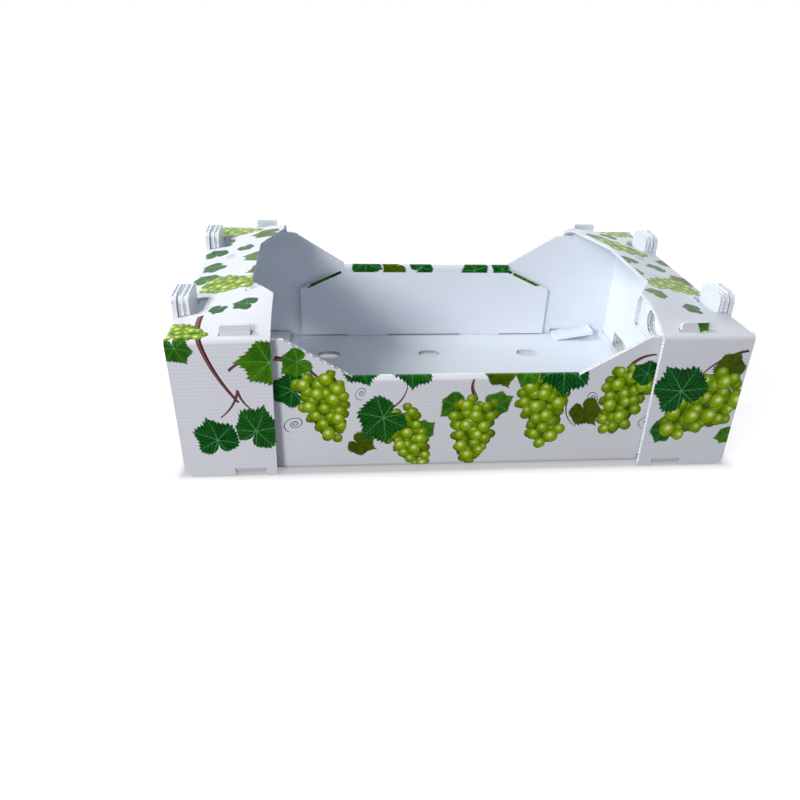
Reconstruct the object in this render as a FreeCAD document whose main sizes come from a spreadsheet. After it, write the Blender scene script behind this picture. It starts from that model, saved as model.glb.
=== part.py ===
import FreeCAD, Part
import math
import os
import re
import Sketcher

# Fruit crate folded from one die-cut sheet of twin-wall polypropylene, in millimetres.
# X is the length, Y the width, Z up; the origin is at the middle of the base's underside.
# The flutes run along X in the flat blank: folds along X bend between two ribs,
# folds across the flutes are crushed solid.

driving = {
    # the folded crate
    "crateLength": 500, "crateWidth": 308, "crateHeight": 133,
    # the sheet: two skins joined by ribs
    "sheetThick": 4, "skinThick": 0.35, "ribThick": 0.3, "flutePitch": 3.5, "crushWidth": 1.5,
    # outer radius of a fold, and the gaps between layers
    "foldRadius": 5, "panelGap": 2, "rollGap": 1.5, "endGap": 1.5, "flapGap": 0.5, "slotClear": 0.5,
    # long walls: the low middle with its sloped ends, and the small tabs on top
    "dipInset": 150, "dipTop": 93, "slopeInset": 92,
    "frontTabInset": 55, "backTabInset": 61,
    "wallTabWidth": 24, "wallTabHeight": 9, "wallTabChamfer": 2.5,
    # panels rolled over the long walls, with two feet each
    "rollInset": 97, "rollShoulder": 64, "rollFootMid": 71, "rollFootWidth": 51,
    # end walls and corner flaps
    "flapShort": 12, "handHalf": 38, "handBottom": 55, "handHeight": 28,
    "innerHandHalf": 60, "innerHandBottom": 52, "innerHandHeight": 36, "innerHandChamfer": 7,
    # stacking tabs in threes, and the openings that take the tabs of the crate below
    "stackTabMid": 88.5, "stackTabWidth": 37, "stackTabHeight": 19, "stackTabChamfer": 9,
    # end shelves and the corner panels that hang from them
    "panelWidth": 83, "panelLift": 1, "panelCorner": 7,
    "notchDepth": 22, "notchHalf": 54, "notchMouthHalf": 93,
    # tuck tabs: a narrow neck, and a wider head inside the crate
    "tuckInset": 57, "tuckNeck": 27, "tuckHead": 50, "tuckReach": 25, "tuckChamfer": 4,
    # slots for air in the base
    "ventLength": 26, "ventWidth": 18, "ventPitch": 120, "ventMid": 84,
}
# insets are measured from the crate's ends, and these are the same places from its middle
driven = {
    "dipHalf": "crateLength/2 - dipInset", "slopeHalf": "crateLength/2 - slopeInset",
    "frontTabMid": "crateLength/2 - frontTabInset", "backTabMid": "crateLength/2 - backTabInset",
    "rollHalf": "crateLength/2 - rollInset", "tuckMid": "crateLength/2 - tuckInset",
}

doc = FreeCAD.newDocument("FruitCrate")
sheet = doc.addObject("Spreadsheet::Sheet", "Sizes")
for row, (name, value) in enumerate({**driving, **driven}.items(), 1):
    sheet.set("A%d" % row, name)
    sheet.set("B%d" % row, "=%s" % value)
    sheet.setAlias("B%d" % row, name)
doc.recompute()

# places worked out from the sheet
endOuter = "(crateLength/2)"
endInner = "(crateLength/2 - sheetThick)"
endAxis = "(crateLength/2 - foldRadius)"
wallOuter = "(crateWidth/2 - sheetThick - panelGap)"
wallInner = "(crateWidth/2 - 2*sheetThick - panelGap)"
wallAxis = "(crateWidth/2 - sheetThick - panelGap - foldRadius)"
shelfAxis = "(crateWidth/2 - foldRadius)"
endHalf = "(crateWidth/2 - sheetThick - panelGap - 2*slotClear)"
middleOuter = "(crateLength/2 - sheetThick - endGap)"
innerOuter = "(crateLength/2 - 2*sheetThick - endGap - flapGap)"
wallTop = "(crateHeight - sheetThick - slotClear)"
topAxis = "(crateHeight - foldRadius)"
rollRadius = "(sheetThick + rollGap/2)"
rollAxis = "(dipTop - sheetThick - rollGap/2)"
rollOuter = "(crateWidth/2 - 2*sheetThick - panelGap - rollGap)"
rollInner = "(crateWidth/2 - 3*sheetThick - panelGap - rollGap)"
footTop = "(sheetThick + slotClear)"
tuckLow = "(foldRadius + slotClear)"
tuckAxis = "(2*foldRadius + slotClear)"
shelfEdge = "(crateLength/2 - panelWidth)"
panelEnd = "(crateLength/2 - 2*slotClear)"
stackIn = "(stackTabMid - stackTabWidth/2)"
stackOut = "(stackTabMid + stackTabWidth/2)"
roomIn = "(stackTabMid - stackTabWidth/2 - 2*slotClear)"
roomOut = "(stackTabMid + stackTabWidth/2 + 2*slotClear)"
stackTop = "(crateHeight + stackTabHeight)"
roomTop = "(stackTabHeight + 2*slotClear)"


def inSheet(text):
    return re.sub(r"[A-Za-z]\w*", lambda m: "Sizes." + m[0] if m[0] in {**driving, **driven} else m[0], text)


def bind(item, prop, text):
    item.setExpression(prop, inSheet(text))


def place(item, x="0", y="0", z="0", along=None):
    # along holds the directions of the item's own X and Y; without it the item isn't turned
    if along:
        u, v = (FreeCAD.Vector(*a) for a in along)
        item.Placement = FreeCAD.Placement(FreeCAD.Vector(), FreeCAD.Rotation(u, v, u.cross(v), "ZXY"))
    for axis, text in zip("xyz", (x, y, z)):
        bind(item, "Placement.Base." + axis, text)
    return item


def mirrored(item, normal):
    # the copy on the other side of the middle
    copy = doc.addObject("Part::Mirroring", item.Name + "Mirror")
    copy.Source = item
    copy.Normal = FreeCAD.Vector(*normal)
    return copy


def newSketch(body, name, role="XY_Plane"):
    sketch = body.newObject("Sketcher::SketchObject", name)
    plane = next(f for f in body.Origin.OriginFeatures if f.Role == role)
    sketch.AttachmentSupport = [(plane, "")]
    sketch.MapMode = "FlatFace"
    return sketch


def constrain(sketch, rules):
    # adds (kind, where, text) rules; one with a text is a distance that stays bound to the sheet
    values = [[] if text is None else [sketch.evalExpression(inSheet(text))]
              for kind, where, text in rules]
    numbers = sketch.addConstraint([Sketcher.Constraint(kind, *where, *value)
                                    for (kind, where, text), value in zip(rules, values)])
    for number, (kind, where, text) in zip(numbers, rules):
        if text is not None:
            bind(sketch, "Constraints[%d]" % number, text)


def pin(item, point, x, y):
    # holds one point of a sketch at its two distances from the origin
    return [("DistanceX", (-1, 1, item, point), x), ("DistanceY", (-1, 1, item, point), y)]


def polygon(sketch, corners):
    # a closed outline, every corner of it held
    first, count = sketch.GeometryCount, len(corners)
    spots = [FreeCAD.Vector(*(sketch.evalExpression(inSheet(c)) for c in corner)) for corner in corners]
    sketch.addGeometry([Part.LineSegment(here, there) for here, there in zip(spots, spots[1:] + spots[:1])])
    rules = []
    for number, (x, y) in enumerate(corners):
        rules.append(("Coincident", (first + number, 2, first + (number + 1) % count, 1), None))
        rules += pin(first + number, 1, x, y)
    constrain(sketch, rules)


def flipped(corners):
    # the same corners on the other side of the sketch's Y, in the order that closes the outline
    return [("-" + x, y) for x, y in reversed(corners)]


def box(sketch, x0, y0, x1, y1):
    polygon(sketch, [(x0, y0), (x1, y0), (x1, y1), (x0, y1)])


def longHole(sketch, x, y, length, width):
    # a slot with round ends, along the sketch's X
    lower, right, upper, left = range(sketch.GeometryCount, sketch.GeometryCount + 4)
    midX, midY, reach, radius = (sketch.evalExpression(inSheet(text)) for text in (
        x, y, "(%s - %s)/2" % (length, width), "%s/2" % width))
    mid, reach = FreeCAD.Vector(midX, midY), FreeCAD.Vector(reach)
    side, turn, axis = FreeCAD.Vector(0, radius), math.pi / 2, FreeCAD.Vector(0, 0, 1)
    sketch.addGeometry([
        Part.LineSegment(mid - reach - side, mid + reach - side),
        Part.ArcOfCircle(Part.Circle(mid + reach, axis, radius), -turn, turn),
        Part.LineSegment(mid + reach + side, mid - reach + side),
        Part.ArcOfCircle(Part.Circle(mid - reach, axis, radius), turn, 3 * turn)])
    rules = [("Tangent", (one, 2, two, 1), None)
             for one, two in ((lower, right), (right, upper), (upper, left), (left, lower))]
    rules += [("Equal", (right, left), None), ("Radius", (right,), "%s/2" % width)]
    for item, sign in ((right, "+"), (left, "-")):
        rules += pin(item, 3, "%s %s (%s - %s)/2" % (x, sign, length, width), y)
    constrain(sketch, rules)


def sheetPanel(name, corners):
    # a flat piece of the sheet: its outline, one sheet thick
    body = doc.addObject("PartDesign::Body", name)
    outline = newSketch(body, name + "Outline")
    polygon(outline, corners)
    pad = body.newObject("PartDesign::Pad", name + "Sheet")
    pad.Profile = outline
    bind(pad, "Length", "sheetThick")
    doc.recompute()
    return body


def roundCorner(body, x, y, radius):
    # rounds the edge that stands on one corner of the outline
    pad = body.Tip
    spot = FreeCAD.Vector(*(pad.evalExpression(inSheet(text)) for text in (x, y)))
    near = [number for number, edge in enumerate(pad.Shape.Edges, 1)
            if all(vertex.Point.distanceToLine(spot, FreeCAD.Vector(0, 0, 1)) < 0.01
                   for vertex in edge.Vertexes)]
    rounding = body.newObject("PartDesign::Fillet", body.Name + "Corner")
    rounding.Base = (pad, ["Edge%d" % number for number in near])
    bind(rounding, "Radius", radius)
    body.Tip = rounding
    doc.recompute()


def flute(body, along, start, end, low, high):
    # the channels between the ribs: along "X" or "Y" from start to end, side by side from low to high
    cross = newSketch(body, body.Name + "Channel", "YZ_Plane" if along == "X" else "XZ_Plane")
    count = "floor((%s - %s - ribThick)/flutePitch)" % (high, low)
    pitch = "((%s - %s - ribThick)/%s)" % (high, low, count)
    box(cross, "%s + ribThick" % low, "skinThick", "%s + %s" % (low, pitch), "sheetThick - skinThick")
    bind(cross, "AttachmentOffset.Base.z", "%s(%s + %s)/2" % ("" if along == "X" else "-", start, end))
    channel = body.newObject("PartDesign::Pocket", body.Name + "Flute")
    channel.Profile = cross
    channel.Midplane = True
    bind(channel, "Length", "%s - %s" % (end, start))
    doc.recompute()
    pattern = body.newObject("PartDesign::LinearPattern", body.Name + "Flutes")
    pattern.Originals = [channel]
    pattern.Direction = (cross, ["H_Axis"])
    bind(pattern, "Occurrences", count)
    bind(pattern, "Length", "(%s - 1)*%s" % (count, pitch))
    body.Tip = pattern
    doc.recompute()


def cutHoles(body, draw):
    # the holes that draw() puts in a sketch, right through the sheet
    sketch = newSketch(body, body.Name + "Windows")
    draw(sketch)
    holes = body.newObject("PartDesign::Pocket", body.Name + "Holes")
    holes.Profile = sketch
    holes.Midplane = True
    bind(holes, "Length", "4*sheetThick")
    body.Tip = holes
    doc.recompute()


def tube(name, radius, inner, length, angle):
    # a sector of a tube about its own Z
    parts = []
    for label, size in (("Outer", radius), ("Inner", inner)):
        rod = doc.addObject("Part::Cylinder", name + label)
        bind(rod, "Radius", size)
        bind(rod, "Height", length)
        rod.Angle = angle
        parts.append(rod)
    ring = doc.addObject("Part::Cut", name + "Ring")
    ring.Base, ring.Tool = parts
    return ring


def fold(name, along, x, y, z, length, radius="foldRadius", angle=90, crushed=False):
    # a bend of the sheet about an axis through x, y, z, from its own X towards its own Y
    ring = tube(name, radius, "%s - sheetThick" % radius, length, angle)
    if not crushed:
        hollow = tube(name + "Hollow", "%s - skinThick" % radius,
                      "%s - sheetThick + skinThick" % radius, length, angle)
        bend = doc.addObject("Part::Cut", name)
        bend.Base, bend.Tool = ring, hollow
        ring = bend
    return place(ring, x, y, z, along)


def handHole(sketch):
    longHole(sketch, "0", "handBottom + handHeight/2", "2*handHalf", "handHeight")


def wideHandHole(sketch):
    side = [("innerHandHalf", "innerHandBottom + innerHandChamfer"),
            ("innerHandHalf", "innerHandBottom + innerHandHeight - innerHandChamfer"),
            ("(innerHandHalf - innerHandChamfer)", "innerHandBottom + innerHandHeight")]
    polygon(sketch, [("(innerHandHalf - innerHandChamfer)", "innerHandBottom")] + side
            + flipped(side) + [("-(innerHandHalf - innerHandChamfer)", "innerHandBottom")])


def tuckSlots(sketch):
    # the tuck tabs of the corner panels come through here
    for end in ("-", ""):
        box(sketch, "%s(tuckMid - tuckHead/2 - slotClear)" % end, "0",
            "%s(tuckMid + tuckHead/2 + slotClear)" % end, "%s + sheetThick + slotClear" % tuckLow)


def shelfHoles(sketch):
    for side, tabMid in (("-", "frontTabMid"), ("", "backTabMid")):
        farEnd = "(%s - stackTabHeight)" % endAxis
        polygon(sketch, [(endOuter, "%s(%s - slotClear)" % (side, stackIn)),
                         ("(%s + stackTabChamfer)" % farEnd, "%s(%s - slotClear)" % (side, stackIn)),
                         (farEnd, "%s(%s - slotClear + stackTabChamfer)" % (side, stackIn)),
                         (farEnd, "%s(%s + slotClear - stackTabChamfer)" % (side, stackOut)),
                         ("(%s + stackTabChamfer)" % farEnd, "%s(%s + slotClear)" % (side, stackOut)),
                         (endOuter, "%s(%s + slotClear)" % (side, stackOut))])
        box(sketch, tabMid + " - wallTabWidth/2 - slotClear", "%s(%s - slotClear)" % (side, wallInner),
            tabMid + " + wallTabWidth/2 + slotClear", "%s(%s + slotClear)" % (side, wallOuter))


def tabbedWall(name, near, far, tabFoot):
    # an upright across the end: openings along its foot, stacking tabs on its top
    foot = [(roomIn, "foldRadius"), (roomIn, roomTop), (roomOut, roomTop), (roomOut, "foldRadius")]
    top = [(stackOut, tabFoot), (stackOut, "(%s - stackTabChamfer)" % stackTop),
           ("(%s - stackTabChamfer)" % stackOut, stackTop), ("(%s + stackTabChamfer)" % stackIn, stackTop),
           (stackIn, "(%s - stackTabChamfer)" % stackTop), (stackIn, tabFoot)]
    return sheetPanel(name, [(near, "foldRadius")] + flipped(foot) + foot + [(far, "foldRadius"),
                      (far, tabFoot)] + top + flipped(top) + [(near, tabFoot)])


east, north, south = (1, 0, 0), (0, 1, 0), (0, -1, 0)
up, down = (0, 0, 1), (0, 0, -1)
pieces = []


def add(item, *normals):
    # keeps a piece, with its mirror copies
    group = [item]
    for normal in normals:
        group += [mirrored(one, normal) for one in group]
    pieces.extend(group)


# base
base = sheetPanel("Base", [("-" + endAxis, "-" + wallAxis), (endAxis, "-" + wallAxis),
                           (endAxis, wallAxis), ("-" + endAxis, wallAxis)])
flute(base, "X", "(crushWidth - %s)" % endAxis, "(%s - crushWidth)" % endAxis, "(-%s)" % wallAxis, wallAxis)


def baseHoles(sketch):
    for side in ("-", ""):
        for column in (-1, 0, 1):
            longHole(sketch, "%d*ventPitch" % column, side + "ventMid", "ventLength", "ventWidth")
        for end in ("-", ""):
            box(sketch, "%s(rollFootMid - rollFootWidth/2 - slotClear)" % end,
                "%s(%s - slotClear)" % (side, rollInner),
                "%s(rollFootMid + rollFootWidth/2 + slotClear)" % end, side + wallAxis)
            box(sketch, "%s(%s - sheetThick - slotClear)" % (end, innerOuter), side + roomIn,
                end + endOuter, side + roomOut)


cutHoles(base, baseHoles)
add(base)
print("base done")

# long walls: high at the ends, low in the middle, with a small tab on each high end
for name, side, flapOuter, tabMid in (("FrontWall", "-", middleOuter, "frontTabMid"),
                                      ("BackWall", "", innerOuter, "backTabMid")):
    half = "(%s - foldRadius)" % flapOuter
    tabNear, tabFar = "(%s - wallTabWidth/2)" % tabMid, "(%s + wallTabWidth/2)" % tabMid
    tabTop = "(crateHeight + wallTabHeight)"
    rightSide = [(half, "foldRadius"), (half, wallTop),
                 (tabFar, wallTop), (tabFar, "(%s - wallTabChamfer)" % tabTop),
                 ("(%s - wallTabChamfer)" % tabFar, tabTop), ("(%s + wallTabChamfer)" % tabNear, tabTop),
                 (tabNear, "(%s - wallTabChamfer)" % tabTop), (tabNear, wallTop),
                 ("slopeHalf", wallTop), ("dipHalf", "dipTop"), ("dipHalf", rollAxis)]
    wall = sheetPanel(name, rightSide + flipped(rightSide))
    for low, high in (("foldRadius", rollAxis), (rollAxis, tabTop)):
        flute(wall, "X", "(crushWidth - %s)" % half, "(%s - crushWidth)" % half, low, high)
    cutHoles(wall, tuckSlots)
    place(wall, y="-" + wallInner if side else wallOuter, along=(east, up))
    add(wall)

    corner = (south, down) if side else (down, north)
    add(fold(name + "Foot", corner, "-" + half, side + wallAxis, "foldRadius", "2*" + half))
    add(fold(name + "Roll", (north, up), "-dipHalf", "%s(%s - rollGap/2)" % (side, wallInner), rollAxis,
             "2*dipHalf", rollRadius, 180))

    # the panel rolled over into the crate, standing on its feet
    rollSide = [("(rollFootMid - rollFootWidth/2)", footTop),
                ("(rollFootMid - rollFootWidth/2)", "slotClear"),
                ("(rollFootMid + rollFootWidth/2)", "slotClear"),
                ("(rollFootMid + rollFootWidth/2)", footTop),
                ("rollHalf", footTop), ("rollHalf", "rollShoulder"), ("dipHalf", rollAxis)]
    roll = sheetPanel(name.replace("Wall", "Roll"), rollSide + flipped(rollSide))
    flute(roll, "X", "(-2*rollHalf)", "(2*rollHalf)", "slotClear", rollAxis)
    add(place(roll, y="-" + rollInner if side else rollOuter, along=(east, up)))

    # the crushed corner fold, and the flap that it turns across the end
    corner = (south, east) if side else (east, north)
    add(fold(name + "Corner", corner, half, side + wallAxis, footTop, "%s - %s" % (wallTop, footTop),
             crushed=True), east)
    near, far = "-" + wallAxis, "(%s - flapShort)" % wallOuter
    run = ("(crushWidth - %s)" % wallAxis, "(%s + sheetThick)" % far)
    if not side:
        near, far = "-" + far, wallAxis
        run = ("(%s - sheetThick)" % near, "(%s - crushWidth)" % wallAxis)
    flap = tabbedWall(name.replace("Wall", "Flap"), near, far, wallTop)
    flute(flap, "X", *run, "foldRadius", stackTop)
    cutHoles(flap, handHole if side else wideHandHole)
    add(place(flap, "(%s - sheetThick)" % flapOuter, along=(north, up)), east)
    print(name + " done")

# end walls
endWall = tabbedWall("EndWall", "-" + endHalf, endHalf, topAxis)
flute(endWall, "Y", "(foldRadius + crushWidth)", "(%s - crushWidth)" % topAxis, "(-%s)" % endHalf, endHalf)
for low, high in ((stackIn, stackOut), ("(-%s)" % stackOut, "(-%s)" % stackIn)):
    flute(endWall, "Y", "(%s - crushWidth)" % topAxis, "(%s + sheetThick)" % stackTop, low, high)
cutHoles(endWall, handHole)
add(place(endWall, endInner, along=(north, up)), east)
footRuns = [("-" + wallAxis, "-" + roomOut), ("-" + roomIn, roomIn), (roomOut, wallAxis)]
topRuns = [("-" + endHalf, "-(%s + slotClear)" % stackOut),
           ("-(%s - slotClear)" % stackIn, "(%s - slotClear)" % stackIn),
           ("(%s + slotClear)" % stackOut, endHalf)]
for name, runs, corner, z in (("EndFoot", footRuns, (east, down), "foldRadius"),
                              ("EndTop", topRuns, (up, east), topAxis)):
    for number, (low, high) in enumerate(runs, 1):
        add(fold(name + str(number), corner, endAxis, low, z, "%s - (%s)" % (high, low), crushed=True), east)
print("end walls done")

# end shelves, with a notch in the inner edge, and the hole that each stacking tab was cut from
halfShelf = [(endAxis, "(%s + slotClear)" % endHalf), (panelEnd, "(%s + slotClear)" % endHalf),
             (panelEnd, shelfAxis), (shelfEdge, shelfAxis), (shelfEdge, "notchMouthHalf"),
             ("(%s + notchDepth)" % shelfEdge, "notchHalf")]
shelf = sheetPanel("Shelf", halfShelf + [(x, "-" + y) for x, y in reversed(halfShelf)])
flute(shelf, "X", "(%s - sheetThick)" % shelfEdge, "(%s - crushWidth)" % endAxis,
      "(-%s)" % shelfAxis, shelfAxis)
cutHoles(shelf, shelfHoles)
add(place(shelf, z="crateHeight - sheetThick"), east)

# corner panels, folded down outside the long walls
neckIn, neckOut = "(tuckMid - tuckNeck/2 - slotClear)", "(tuckMid + tuckNeck/2 + slotClear)"
panel = sheetPanel("CornerPanel", [
    (shelfEdge, "panelLift"), (neckIn, "panelLift"), (neckIn, tuckAxis), (neckOut, tuckAxis),
    (neckOut, "panelLift"), (panelEnd, "panelLift"), (panelEnd, topAxis), (shelfEdge, topAxis)])
roundCorner(panel, panelEnd, "panelLift", "panelCorner")
for low, high in (("panelLift", tuckAxis), (tuckAxis, topAxis)):
    flute(panel, "X", "(%s - sheetThick)" % shelfEdge, endOuter, low, high)
add(place(panel, y="sheetThick - crateWidth/2", along=(east, up)), north, east)
add(fold("PanelTop", (up, south), shelfEdge, "-" + shelfAxis, topAxis, "%s - %s" % (panelEnd, shelfEdge)),
    north, east)

# tuck tabs, folded in under the panels and through the slots in the long walls
add(fold("TuckBend", (south, down), "(tuckMid - tuckNeck/2)", "-" + shelfAxis, tuckAxis, "tuckNeck"),
    north, east)
headStart, headEnd = "-(%s - slotClear)" % wallInner, "-(%s - slotClear - tuckReach)" % wallInner
tuckSide = [("tuckNeck/2", "-" + shelfAxis), ("tuckNeck/2", headStart), ("tuckHead/2", headStart),
            ("tuckHead/2", headEnd + " - tuckChamfer"), ("(tuckHead/2 - tuckChamfer)", headEnd)]
tuck = sheetPanel("TuckTab", tuckSide + flipped(tuckSide))
flute(tuck, "X", "(-tuckHead)", "tuckHead", "(-%s)" % shelfAxis, "(%s)" % headEnd)
add(place(tuck, "tuckMid", z=tuckLow), north, east)
print("shelves, panels and tuck tabs done")

crate = doc.addObject("Part::MultiFuse", "crate")
crate.Label = "crate"
crate.Shapes = pieces
doc.recompute()
print("crate fused")

os.makedirs("parts", exist_ok=True)
for item in doc.Objects:
    if "Invalid" in item.State or "Error" in item.State:
        raise RuntimeError("%s failed: %s" % (item.Name, item.State))
shape = crate.Shape
if shape.isNull() or not shape.isValid():
    raise RuntimeError("crate has no valid shape")
print("crate: %d solid, %d faces, %.0f cubic mm" % (len(shape.Solids), len(shape.Faces), shape.Volume))
shape.exportStep("parts/crate.step")
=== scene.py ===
import math
from functools import partial
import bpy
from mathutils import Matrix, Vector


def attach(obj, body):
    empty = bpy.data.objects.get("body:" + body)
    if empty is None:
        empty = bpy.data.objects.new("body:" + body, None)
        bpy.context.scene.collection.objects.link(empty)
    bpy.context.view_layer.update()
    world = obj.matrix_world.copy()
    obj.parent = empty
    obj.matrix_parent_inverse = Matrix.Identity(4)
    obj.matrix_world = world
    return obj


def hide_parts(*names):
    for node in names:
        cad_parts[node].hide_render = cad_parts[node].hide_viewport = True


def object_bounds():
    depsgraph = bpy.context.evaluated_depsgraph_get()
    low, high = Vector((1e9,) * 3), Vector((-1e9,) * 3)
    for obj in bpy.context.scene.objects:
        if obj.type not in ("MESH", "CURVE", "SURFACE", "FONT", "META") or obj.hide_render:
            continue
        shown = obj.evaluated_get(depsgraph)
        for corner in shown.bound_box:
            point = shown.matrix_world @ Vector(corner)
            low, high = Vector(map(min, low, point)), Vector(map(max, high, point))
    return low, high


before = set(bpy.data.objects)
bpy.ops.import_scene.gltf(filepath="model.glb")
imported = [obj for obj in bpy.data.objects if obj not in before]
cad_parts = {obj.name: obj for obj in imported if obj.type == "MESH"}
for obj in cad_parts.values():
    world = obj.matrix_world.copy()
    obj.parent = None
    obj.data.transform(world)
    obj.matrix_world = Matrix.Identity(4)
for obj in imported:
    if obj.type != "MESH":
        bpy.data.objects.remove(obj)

from types import SimpleNamespace

import bmesh
import bpy
from mathutils import Vector

cadBox = [list(corner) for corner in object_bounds()]

# sizes are in millimetres until a piece becomes an object
mm = 0.001
sheet = {
    "thick": 4, "skin": 0.4, "rib": 0.4, "pitch": 3.5, "fold": 5,
    "crush": 1.5,  # how much of a flute is pressed flat beside a fold
    "openDepth": 1.4,  # how far a flute is open behind a cut
    "bendSteps": 8, "arcStep": 0.3, "sharp": 28,  # steps in a right angle, radians, degrees
    "weld": 0.005, "snap": 0.0001,  # how near is the same place, to join and to cut
}
thick, fold, crush = sheet["thick"], sheet["fold"], sheet["crush"]
quarter = fold * math.pi / 2  # length of a right-angled fold along its outside


# sheet work: a panel is cut flat, gets its flutes, and is then folded into place

def rounded(corners):
    # corners that carry a radius become short arcs
    outline = []
    for number, (u, v, *radius) in enumerate(corners):
        here = Vector((u, v))
        if not radius:
            outline.append(here)
            continue
        arms = [(Vector(corners[near % len(corners)][:2]) - here).normalized()
                for near in (number - 1, number + 1)]
        half = arms[0].angle(arms[1]) / 2
        middle = here + (arms[0] + arms[1]).normalized() * radius[0] / math.sin(half)
        spokes = [here + arm * radius[0] / math.tan(half) - middle for arm in arms]
        first, last = (math.atan2(spoke.y, spoke.x) for spoke in spokes)
        turn = (last - first + math.pi) % (2 * math.pi) - math.pi
        steps = max(3, round(abs(turn) / sheet["arcStep"]))
        for step in range(steps + 1):
            angle = first + turn * step / steps
            outline.append(middle + radius[0] * Vector((math.cos(angle), math.sin(angle))))
    return outline


def inset(corners, depth):
    # the outline moved inwards, or outwards when depth is negative; it runs anticlockwise
    moved = []
    for number, corner in enumerate(corners):
        near = (corners[number - 1], corner, corners[(number + 1) % len(corners)])
        before, here, after = (Vector(one[:2]) for one in near)
        one, two = (here - before).normalized(), (after - here).normalized()
        sides = Vector((-one.y, one.x)), Vector((-two.y, two.x))
        moved.append(here + depth * (sides[0] + sides[1]) / (1 + sides[0].dot(sides[1])))
    return moved


def anticlockwise(corners):
    area = sum(a[0] * b[1] - b[0] * a[1] for a, b in zip(corners, [*corners[1:], corners[0]]))
    return list(corners) if area > 0 else list(corners)[::-1]


def mirror(corners):
    # the same corners on the other side, in the order that closes the outline
    return [(-corner[0], *corner[1:]) for corner in reversed(corners)]


def slot(u, v, length, width):
    # a hole with round ends; its arcs stop a hair short of each other
    reach, rise = length / 2, width / 2
    radius = rise * 0.999
    return [(u - reach, v - rise, radius), (u + reach, v - rise, radius),
            (u + reach, v + rise, radius), (u - reach, v + rise, radius)]


def rectangle(u0, v0, u1, v1):
    return [(u0, v0), (u1, v0), (u1, v1), (u0, v1)]


def onSide(side, pair):
    # two places from the middle, on the side that is -1 or 1
    return sorted(side * one for one in pair)


def passed(value, start, over):
    # how much of a stretch lies behind the value, from 0 to 1
    return min(max((value - start) / over, 0), 1)


def spaced(low, high, step):
    # places between two ends, for cuts across a panel
    count = max(1, round((high - low) / step))
    return [low + (high - low) * number / count for number in range(1, count)]


def addPrism(solid, outline, low, high):
    rings = [[solid.verts.new((u, v, w)) for u, v in outline] for w in (low, high)]
    solid.faces.new(rings[0][::-1])
    solid.faces.new(rings[1])
    for here in range(len(outline)):
        there = (here + 1) % len(outline)
        solid.faces.new((rings[0][here], rings[0][there], rings[1][there], rings[1][here]))


def addObject(name, data):
    item = bpy.data.objects.new(name, data)
    bpy.context.collection.objects.link(item)
    return item


def toObject(name, solid):
    mesh = bpy.data.meshes.new(name)
    bmesh.ops.recalc_face_normals(solid, faces=solid.faces)
    solid.to_mesh(mesh)
    solid.free()
    return addObject(name, mesh)


def carve(solid, cutters):
    # the solid without its cutters, as a new bmesh
    block = toObject("block", solid)
    tools = [toObject("tool", cutter) for cutter in cutters]
    for tool in tools:
        cut = block.modifiers.new("cut", "BOOLEAN")
        cut.operation, cut.solver, cut.object = "DIFFERENCE", "MANIFOLD", tool
    carved = bmesh.new()
    carved.from_mesh(block.evaluated_get(bpy.context.evaluated_depsgraph_get()).data)
    for item in [block, *tools]:
        mesh = item.data
        bpy.data.objects.remove(item)
        bpy.data.meshes.remove(mesh)
    return carved


def flatPanel(outline, holes, flutes, cuts=None, across="v"):
    # one die-cut panel lying flat: u and v in the sheet, w from the plain side to the printed side
    outline, holes = anticlockwise(outline), [anticlockwise(hole) for hole in holes]
    solid, core, channels = bmesh.new(), bmesh.new(), bmesh.new()
    addPrism(solid, rounded(outline), 0, thick)  # each tool stands out further than what it cuts
    addPrism(core, inset(outline, sheet["openDepth"]), -2, thick + 2)
    cutters = []
    if holes:
        punch, wide = bmesh.new(), bmesh.new()
        for hole in holes:
            addPrism(punch, rounded(hole), -1, thick + 1)
            addPrism(wide, inset(hole, -sheet["openDepth"]), -3, thick + 3)
        cutters.append(punch)
        core = carve(core, [wide])
    for low, high, start, end in flutes:  # side by side from low to high, each from start to end
        count = int((high - low - sheet["rib"]) / sheet["pitch"])
        pitch = (high - low - sheet["rib"]) / max(count, 1)
        for number in range(count):
            a0, a1 = low + sheet["rib"] + number * pitch, low + (number + 1) * pitch
            corners = rectangle(start, a0, end, a1) if across == "v" else rectangle(a0, start, a1, end)
            addPrism(channels, corners, sheet["skin"], thick - sheet["skin"])
    cutters.append(carve(channels, [core]))  # the flutes are open for a short way in from each cut
    panel = carve(solid, cutters)
    for axis, places in (cuts or {}).items():
        normal = Vector((axis == "u", axis == "v", 0))
        for spot in places:
            bmesh.ops.bisect_plane(panel, geom=panel.verts[:] + panel.edges[:] + panel.faces[:],
                                   plane_co=normal * spot, plane_no=normal, dist=sheet["snap"])
    blank = panel.loops.layers.uv.new("blank")
    lines = panel.loops.layers.uv.new("lines")
    for face in panel.faces:
        depth = abs(face.calc_center_median().z - thick / 2)
        onSkin = abs(face.normal.z) > 0.9 and depth > thick / 2 - 0.01
        face.material_index = (0 if face.normal.z > 0 else 1) if onSkin else 2
        for loop in face.loops:
            u, v, _ = loop.vert.co
            loop[blank].uv = (u, v)
            loop[lines].uv = (v, u) if across == "v" else (u, v)
    return panel


def openEnd(panel, spot, low, high):
    # takes away the cut face at this v, where another panel carries the sheet on
    near = sheet["weld"]
    gone = [face for face in panel.faces
            if all(abs(vert.co.y - spot) < near and low - near < vert.co.x < high + near
                   for vert in face.verts)]
    bmesh.ops.delete(panel, geom=gone, context="FACES")


def advance(point, angle, radius, length):
    # along a straight run, or round a bend to the left when there is a radius
    if not radius:
        return point + length * Vector((math.cos(angle), math.sin(angle))), angle
    turned = angle + length / radius
    middle = point + radius * Vector((-math.sin(angle), math.cos(angle)))
    return middle + radius * Vector((math.sin(turned), -math.cos(turned))), turned


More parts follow.
